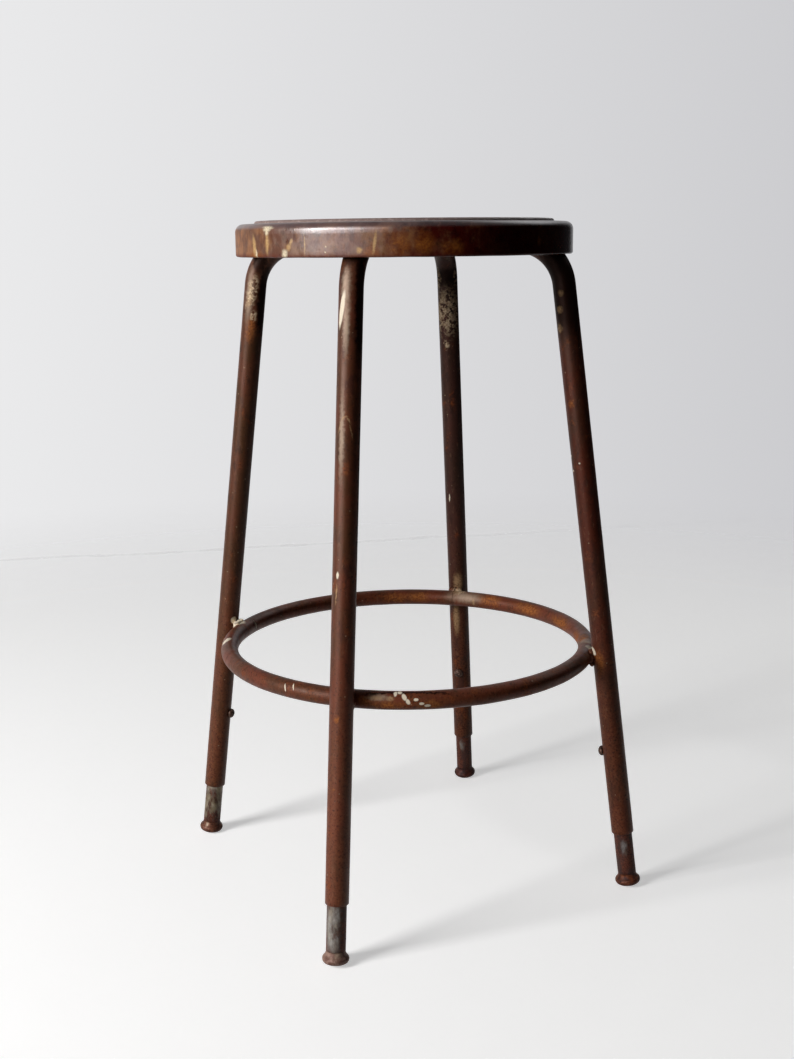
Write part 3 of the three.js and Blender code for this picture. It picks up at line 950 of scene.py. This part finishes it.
def footrest_ring():
    """The rolled tube, not quite closed behind its seam leg, and its welds to the legs."""
    gap = RING_SEAM_GAP / ring_radius
    start = by_name[SEAM_LEG].turn + gap / 2
    turns = [start + (FULL_TURN - gap) * k / RING_STEPS for k in range(RING_STEPS + 1)]
    shell = Shell()
    rings = [ring_section(turn, RING_TUBE_RADIUS, 0.00025) for turn in turns]
    rings += [ring_section(turn, RING_TUBE_RADIUS - RING_WALL) for turn in turns[::-6]]
    shell.skin(rings, closed=True)
    lat, lon = 14, 28
    middle = Vector((ring_radius + RING_TUBE_RADIUS * 0.9, 0, ring_height))
    for index, site in enumerate(sites):
        for level in (-1, 1):
            heaped = site.name == SEAM_LEG and level > 0
            rise, radius = HEAPED_BEAD if heaped else (RING_BEAD_RISE, RING_BEAD_RADIUS)
            bead(shell, ring_bead(site, level, rise), radius, index * 3 + level)
        rings = []
        for a in range(lat + 1):
            tilt = pi * a / lat
            ring = []
            for b in range(lon if 0 < a < lat else 1):
                turn = FULL_TURN * b / lon
                radius = sin(tilt)
                way = Vector((radius * cos(turn), cos(tilt), radius * sin(turn)))
                swell = 1 + 0.12 * lump(way, 0.6, index * 5)
                ring.append(site.plane @ (middle + way * WELD_HALF_SIZES * swell))
            rings.append(ring)
        shell.skin(rings)
    spatter(by_name[SPATTERED_LEG], shell)
    return shell.piece(60)


# Feet

def glide_base(site):
    return (GLIDE_DOME_RADIUS - GLIDE_WEAR) / cos(site.splay) - GLIDE_DOME_RADIUS


def glide_profile():
    """The foot's profile from the middle of its dome, round the lip and up the neck to the tube's end."""
    lip_x = GLIDE_RADIUS - GLIDE_LIP_RADIUS
    dome_inner = GLIDE_DOME_RADIUS - GLIDE_LIP_RADIUS
    lip_z = GLIDE_DOME_RADIUS - sqrt(dome_inner ** 2 - lip_x ** 2)
    dome_end = asin(lip_x / dome_inner) - QUARTER_TURN
    neck_x = EXTENSION_RADIUS + GLIDE_NECK_RADIUS
    neck_z = lip_z + sqrt((GLIDE_LIP_RADIUS + GLIDE_NECK_RADIUS) ** 2 - (neck_x - lip_x) ** 2)
    lip_end = atan2(neck_z - lip_z, neck_x - lip_x)
    return [
        (0.0, 0.0),
        *arc((0, GLIDE_DOME_RADIUS), GLIDE_DOME_RADIUS, -QUARTER_TURN, dome_end, 12)[1:],
        *arc((lip_x, lip_z), GLIDE_LIP_RADIUS, dome_end, lip_end, 16)[1:],
        *arc((neck_x, neck_z), GLIDE_NECK_RADIUS, 2 * QUARTER_TURN + lip_end, 2 * QUARTER_TURN, 10)[1:],
    ]


def side_wear(depth, size, seed, top=inf):
    """A shape for turned(): the side worn back by up to this depth, below top."""
    def shape(turn, radius, height):
        worn = dent(around(turn, radius, height), depth, size, seed)
        return radius - worn * (height < top), height
    return shape


def leg_extension(site):
    low = glide_base(site) + glide_profile()[-1][1] + GAP
    high = site.foot_rise + EXTENSION_GRIP
    profile = sleeve(EXTENSION_RADIUS - EXTENSION_WALL, EXTENSION_RADIUS, low, high, EXTENSION_WALL * 0.25)
    profile = spread(profile + profile[:1], FINE_STEP)[:-1]
    shell = turned(profile, TUBE_SIDES, side_wear(0.0001, 0.012, site.turn), site.axis)
    return shell.piece(50)


def glide(site):
    """The domed steel foot: a round lip, a hollow neck up to the tube, and a stem inside."""
    stem = EXTENSION_RADIUS - EXTENSION_WALL - GAP
    profile = glide_profile()
    neck = profile[-1][1]
    profile += [(stem, neck), (stem, neck + GLIDE_STEM_LENGTH), (0.0, neck + GLIDE_STEM_LENGTH)]
    place = site.axis @ Matrix.Translation((0, 0, glide_base(site)))
    shell = turned(profile, TUBE_SIDES, side_wear(0.0003, 0.007, site.turn, neck), place)
    for point in shell.points:
        point.z = max(point.z, 0.0)
    return shell.piece(45)


def lock_screw(site, index):
    """A slotted round-head screw, on its own axis from the middle of the leg."""
    place = site.screw_axis @ Matrix.Rotation(FIRST_SLOT_TURN + index * SLOT_TURN_STEP, 4, "Z")
    tip, under = EXTENSION_RADIUS + GAP, LEG_RADIUS + GAP
    top = under + SCREW_HEAD_HEIGHT
    profile = [(0.0, tip), (LOCK_SCREW_RADIUS, tip), (LOCK_SCREW_RADIUS, under)]
    profile += [(SCREW_HEAD_RADIUS - GAP, under), (SCREW_HEAD_RADIUS, under + GAP)]
    steps = 12
    for k in range(steps):
        turn = QUARTER_TURN * k / steps
        rise = SCREW_HEAD_EDGE + (SCREW_HEAD_HEIGHT - SCREW_HEAD_EDGE) * sin(turn)
        profile.append((SCREW_HEAD_RADIUS * cos(turn), under + rise))
    profile.append((0.0, top))
    made = turned(profile, 48, None, place).piece(40)
    half, reach = SCREW_SLOT_WIDTH / 2, SCREW_HEAD_RADIUS * 1.3
    corners = [(-reach, -half), (reach, -half), (reach, half), (-reach, half)]
    heights = (top - SCREW_SLOT_DEPTH, top + SCREW_SLOT_DEPTH)
    low, high = ([place @ Vector((x, y, height)) for x, y in corners] for height in heights)
    slot = Shell()
    slot.skin([[sum(low, Vector()) / 4], low, high, [sum(high, Vector()) / 4]])
    return cut(made, slot.piece())


# Floor, light and surroundings

def floor_material():
    """Pale and matt, lifted to the photograph's white for the eye and for gloss, clear far away."""
    f = Finish("floor")
    seen = f.rays()[2]
    pale = f.mix(f.noise(0.05, 6, 0.7), "#e3e2e1", "#ebeae9")
    ragged = f.step(f.noise(0.3, 4, 0.6), 0.3, 0.7, -0.012, 0.012)
    off = f.maths("SUBTRACT", f.maths("ADD", f.towards(WALL_WAY), ragged), WALL_AWAY)
    crack = f.step(f.maths("ABSOLUTE", off), 0.014, 0.004)
    crack = f.times(crack, f.step(f.noise(0.06, 4, 0.7), 0.42, 0.6, 0.3, 1.0))
    f.colour = f.mix(seen, FLOOR_BOUNCE, f.mix(crack, pale, "#544f48"))
    f.finish(0.6, 0.2)
    lift = f.node("ShaderNodeEmission", {"Strength": f.times(seen, FLOOR_LIFT)})
    lit = f.node("ShaderNodeAddShader", {0: f.shader.outputs[0], 1: lift})
    clear = f.node("ShaderNodeBsdfTransparent")
    fade = f.step(f.vector("LENGTH", f.place, out="Value"), FLOOR_FADE_FROM, FLOOR_FADE_TO)
    surface = f.node("ShaderNodeMixShader", {0: fade, 1: lit, 2: clear})
    f.put(f.tree.nodes["Material Output"].inputs["Surface"], surface)
    return f.material


def make_floor():
    mesh = bpy.data.meshes.new("floor")
    points = [around(FULL_TURN * i / FLOOR_SIDES, FLOOR_RADIUS) for i in range(FLOOR_SIDES)]
    mesh.from_pydata(points, [], [list(range(FLOOR_SIDES))])
    mesh.materials.append(floor_material())
    floor = in_scene("floor", mesh)
    return floor


def make_world():
    """A pale room for the eye and gloss, brighter towards the window, and a low fill for the rest."""
    world = bpy.data.worlds.new("room")
    scene.world = world
    world.use_nodes = True
    n = Nodes(world.node_tree)
    n.tree.nodes.clear()
    n.place = n.node("ShaderNodeTexCoord", out="Generated")

    def ramp(direction, stops):
        """A grey that follows the way one looks, from against the direction, 0, to along it, 1."""
        made = n.node("ShaderNodeValToRGB", {"Fac": n.step(n.towards(direction), -1.0, 1.0, kind="LINEAR")})
        elements = made.node.color_ramp.elements
        elements[0].color, elements[1].color = paint(stops[0][1]), paint(stops[-1][1])
        for place, code in stops[1:-1]:
            elements.new(place).color = paint(code)
        return made

    eye, gloss, seen = n.rays()
    room = n.mix(1.0, ramp(WINDOW_SIDE, WINDOW_STOPS), ramp(ROOM_DEPTH, DEPTH_STOPS), "MULTIPLY")
    room = n.mix(n.step(n.height(), CEILING_FROM, CEILING_TO, kind="LINEAR"), room, CEILING)
    room = n.mix(eye, room, DIMMEST_WALL, "LIGHTEN")
    strength = 1.0
    for direction, inner, outer, level in GLOWS:
        edge, core = cos(radians(outer)), cos(radians(inner))
        glow = n.step(n.towards(direction), edge, core, 0.0, level)
        strength = n.maths("MULTIPLY_ADD", glow, gloss, strength)
    room = n.node("ShaderNodeBackground", {"Color": room, "Strength": strength})
    fill = n.node("ShaderNodeBackground", {"Color": "#ffffff", "Strength": FILL_LEVEL})
    output = n.tree.nodes.new("ShaderNodeOutputWorld")
    n.put(output.inputs["Surface"], n.node("ShaderNodeMixShader", {0: seen, 1: fill, 2: room}))


def make_lamp(name, way, width, height, power):
    """A large soft source that faces the stool."""
    data = bpy.data.lights.new(name, "AREA")
    data.shape = "RECTANGLE"
    data.size = width
    data.size_y = height
    data.energy = power
    lamp = in_scene(name, data)
    way = Vector(way).normalized()
    lamp.location = UP * ring_height + way * LAMP_DISTANCE
    lamp.rotation_mode = "QUATERNION"
    lamp.rotation_quaternion = way.to_track_quat("Z", "Y")


# Marks that the photograph shows, in millimetres and degrees

# Height, place to the right of the leg's middle, half length, half width, slant and depth. Zinc and steel are
# the paler patches of the extension and the glide; those on the glides sit where their highlight falls and
# are partly painted highlight. The dark marks are painted shade, on the legs' shaded right sides and where
# the seat shades their tops, and the pale sheen marks on their lit left sides are partly painted highlight.
LEG_WEAR = {
    "front_left": {
        "scrapes": [(637, -8.6, 21.5, 3.3, 9), (386.5, -6.8, 4.5, 1.8, 4)],
        "dark": [(645, 9.5, 70, 8, 0, 12), (470, 11.6, 170, 3, 0, 12), (693, 0, 18, 25, 0, 30)],
        "haze_and_sheen": [(660, -5.2, 48, 7.5), (625, -4, 45, 5), (520, -6, 60, 4)],
        "stains": [
            (527, -8.2, 9, 1.1, 14), (535.5, -5.2, 4.5, 1.3, 42), (537.2, -2.4, 1.3, 2.6),
            (534, 0.2, 4.8, 1.2, -38), (523, 3, 10, 1, -12), (368, -7.8, 14, 1.3, 4),
        ],
        "rust": [(179, -6, 2.2, 2), (247, -4, 5, 4)],
        "zinc": [(43, -4, 55, 19, 0, 9)],
        "steel": [(14.5, 3, 7.5, 8.5)],
    },
    "back_right": {
        "dark": [(660, 0, 13, 30, 0, 30)],
        "patches": [
            (619, -1, 38, 30, 0, 14), (660, -10, 20, 5), (665, 9, 20, 4), (581, -4, 8, 4),
            # The top patch brightens the leg where the seat's shadow falls on it: painted light.
            (687, 1, 8, 12, 0, 14),
        ],
        "scrapes": [(390, -7, 6, 0.9, 2)],
        "stains": [(279, 0, 17, 9), (230, -4, 30, 6)],
        "zinc": [(50, -3, 11, 6)],
    },
    "back_left": {
        "scrapes": [(272, 6.2, 5, 4.2)],
        "dark": [(645, 9, 56, 8, 0, 12), (685, 2, 20, 10, 0, 12)],
        "haze_and_sheen": [(645, -6.2, 42, 7)],
        "patches": [(648, -4, 24, 8, 10), (622, 0, 8, 5)],
        "stains": [(638, -6, 10, 5, 15)],
        "rust": [(608, -2, 20, 8)],
        "steel": [(13, -6, 6, 3)],
    },
    "front_right": {
        "dark": [(665, 0, 80, 30, 0, 30)],
        "scrapes": [
            (479, -12.5, 1.6, 4.5, -20), (464, -11, 1.4, 1.6), (472, -4, 1.3, 1.3),
            (269, -10.6, 6.2, 3.6, -35),
        ],
        "stains": [
            (659, -12.5, 6, 4.2, 15), (647.5, -4.5, 4.5, 4.5), (631, -7.5, 5.5, 5),
            (612, -9.5, 6.5, 5),
        ],
        "rust": [(534, -6, 5.5, 5, 20), (256, -6, 20, 9)],
        "zinc": [(46, 0, 14, 6)],
    },
}
# Turn about the seat's axis, height, half length, half width and slant
SEAT_WEAR = {
    "drips": [
        (-166.6, 715.2, 2.4, 13, 3), (-166.9, 713.4, 3.4, 8.8), (-166.9, 710.8, 4, 4.2),
        (-158.4, 690, 6, 5.8, 10), (-142.6, 696.5, 1.4, 1.4), (-142.8, 691.5, 1.2, 1.2),
        (-173.2, 690.5, 6, 2.2, -12),
    ],
    "stains": [
        (-166.8, 700.5, 15, 4.2, 1), (-174.6, 697, 15, 5.2, -10), (-156.6, 696, 5, 4, 30),
        (-150.2, 698.5, 14, 0.9), (-126.8, 700, 15, 2.2, 8), (-155.6, 701, 5, 2.4, 30),
        (-131.6, 693, 4.2, 4.2, 40),
    ],
    "rust": [
        (-119, 698.5, 17, 20), (-112, 699, 15, 17), (-127.5, 691, 8, 12), (-103, 694.5, 11, 17),
        (-174, 688, 6, 22), (-70, 700, 8, 5),
    ],
}
# Turn about the seat's axis, turn round the tube, half length, half width, slant and depth
RING_WEAR = {
    "dark": [(-118, 74, 2, 60)],
    "scrapes": [
        (-121.4, 62, 4.2, 2.2, 10), (-120.2, 74, 3, 2.6), (-119, 40, 4.8, 2.5, -25),
        (-118, 10, 3.5, 2.4, -20), (-115.8, 22, 1.8, 2.8), (-114.3, -3, 1.8, 3), (-112.7, -18, 2, 3.6),
        (-154.5, 22, 5, 0.9, -20), (-151.8, 38, 4.5, 0.8, -20), (157, 66, 5, 10.5, 30),
        (131.6, 160, 6.2, 2.2), (136.8, 55, 10, 9.5, 0, 10), (-43, 44, 7.8, 7.5, 0, 9),
    ],
    "haze_and_sheen": [
        (-126, 36, 5, 16), (-36, 105, 10, 12, 30), (-43, 20, 9, 7), (40, 150, 12, 34, 0, 8),
        (154, 20, 6, 10), (-38, 84, 8, 10),
    ],
    "patches": [(43, 84, 9.5, 12, 0, 9)],
    "stains": [(43.5, 90, 9, 11, 0, 9), (-127, 30, 3.2, 12), (-122.8, 28, 3.4, 5), (36.5, 185, 6, 3)],
    "rust": [
        (30, 150, 13, 20), (12, 160, 13, 30), (-8, 165, 14, 30), (-26, 165, 11, 20), (58, 170, 11, 20),
        (-130, 10, 8, 10), (-124, -18, 7.5, 25), (-112, -14, 7, 20), (66, 172, 10, 22),
        (-33, 115, 12, 16),
    ],
}


# Assembly

UPRIGHT_STREAK = (1.0, 1.0, 0.35)
ROUND_STREAK = (0.8, 0.8, 1.0)
# Each leg's gloss and shades of enamel, its extension's share and rise of rust and grey, its glide's shades
# The back-right and front-right legs, on the side away from the window, have darker shades of the same
# enamel: painted shade for the lesser light they get.
LEG_LOOKS = {
    "front_left": ((0.3, "#5a2c1c", "#432614", "#260b06"), (1.0, 0.1, "#aaa69f"), ("#65453b", "#937668")),
    "back_right": ((0.16, "#3a201a", "#2f1c15", "#1c0c09"), (1.0, 0.1, "#8c8480"), ("#240c08", "#4a2116")),
    "back_left": ((0.25, "#4f2a1a", "#402613", "#220d06"), (0.4, 0.026, "#75674f"), ("#3d1d12", "#6d4330")),
    "front_right": ((0.22, "#471c0f", "#381d11", "#1d0905"), (1.0, 0.1, "#a39d9a"), ("#2e120b", "#6b381f")),
}

fastener_zinc = zinc("fastener_zinc", 0.35, -0.1)
screw_steel = rusted_steel("screw_steel", "#2e211b", "#5c4438", 0.4, 0.003)
plate_paint = worn_enamel("plate_paint", ROUND_STREAK, {}, 0.6, 0.25, "#2f1d18", "#2a1d16", "#170c09")
ring_wear = placed(RING_WEAR, ring_mark)
ring_paint = worn_enamel("ring_enamel", ROUND_STREAK, ring_wear, 0.7, 0.22, "#5e2c1c", "#452818")
seat_paint = seat_enamel(placed(SEAT_WEAR, apron_mark))

ends(seat_pan(), seat_paint, "frame", "seat_pan")
ends(seat_board(), hardboard(), "frame", "seat_board")
ends(leg_plate(), plate_paint, "frame", "leg_plate")
ends(footrest_ring(), ring_paint, "frame", "footrest_ring")
for name in STUD_NAMES:
    ends(washer(name), fastener_zinc, "frame", "plate_washer_" + name)
    ends(nut(name), fastener_zinc, "frame", "plate_nut_" + name)
for i, site in enumerate(sites):
    name = site.name
    wear = placed(LEG_WEAR[name], leg_mark, site)
    paints, zincs, steels = LEG_LOOKS[name]
    enamel = worn_enamel("leg_enamel_" + name, UPRIGHT_STREAK, wear, 0.4, *paints)
    foot_zinc = zinc("foot_zinc_" + name, *zincs, wear.get("zinc"))
    foot_steel = rusted_steel("foot_steel_" + name, *steels, marks=wear.get("steel"))
    ends(leg(site), enamel, "frame", "leg_" + name)
    ends(leg_extension(site), foot_zinc, "extension_" + name, "leg_extension_" + name)
    ends(glide(site), foot_steel, "extension_" + name, "glide_" + name)
    ends(lock_screw(site, i), screw_steel, "lock_" + name, "lock_screw_" + name)

make_world()
make_lamp("window", *WINDOW_LAMP)
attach(make_floor(), FLOOR_CARRIER)
scene.view_settings.view_transform = "Standard"
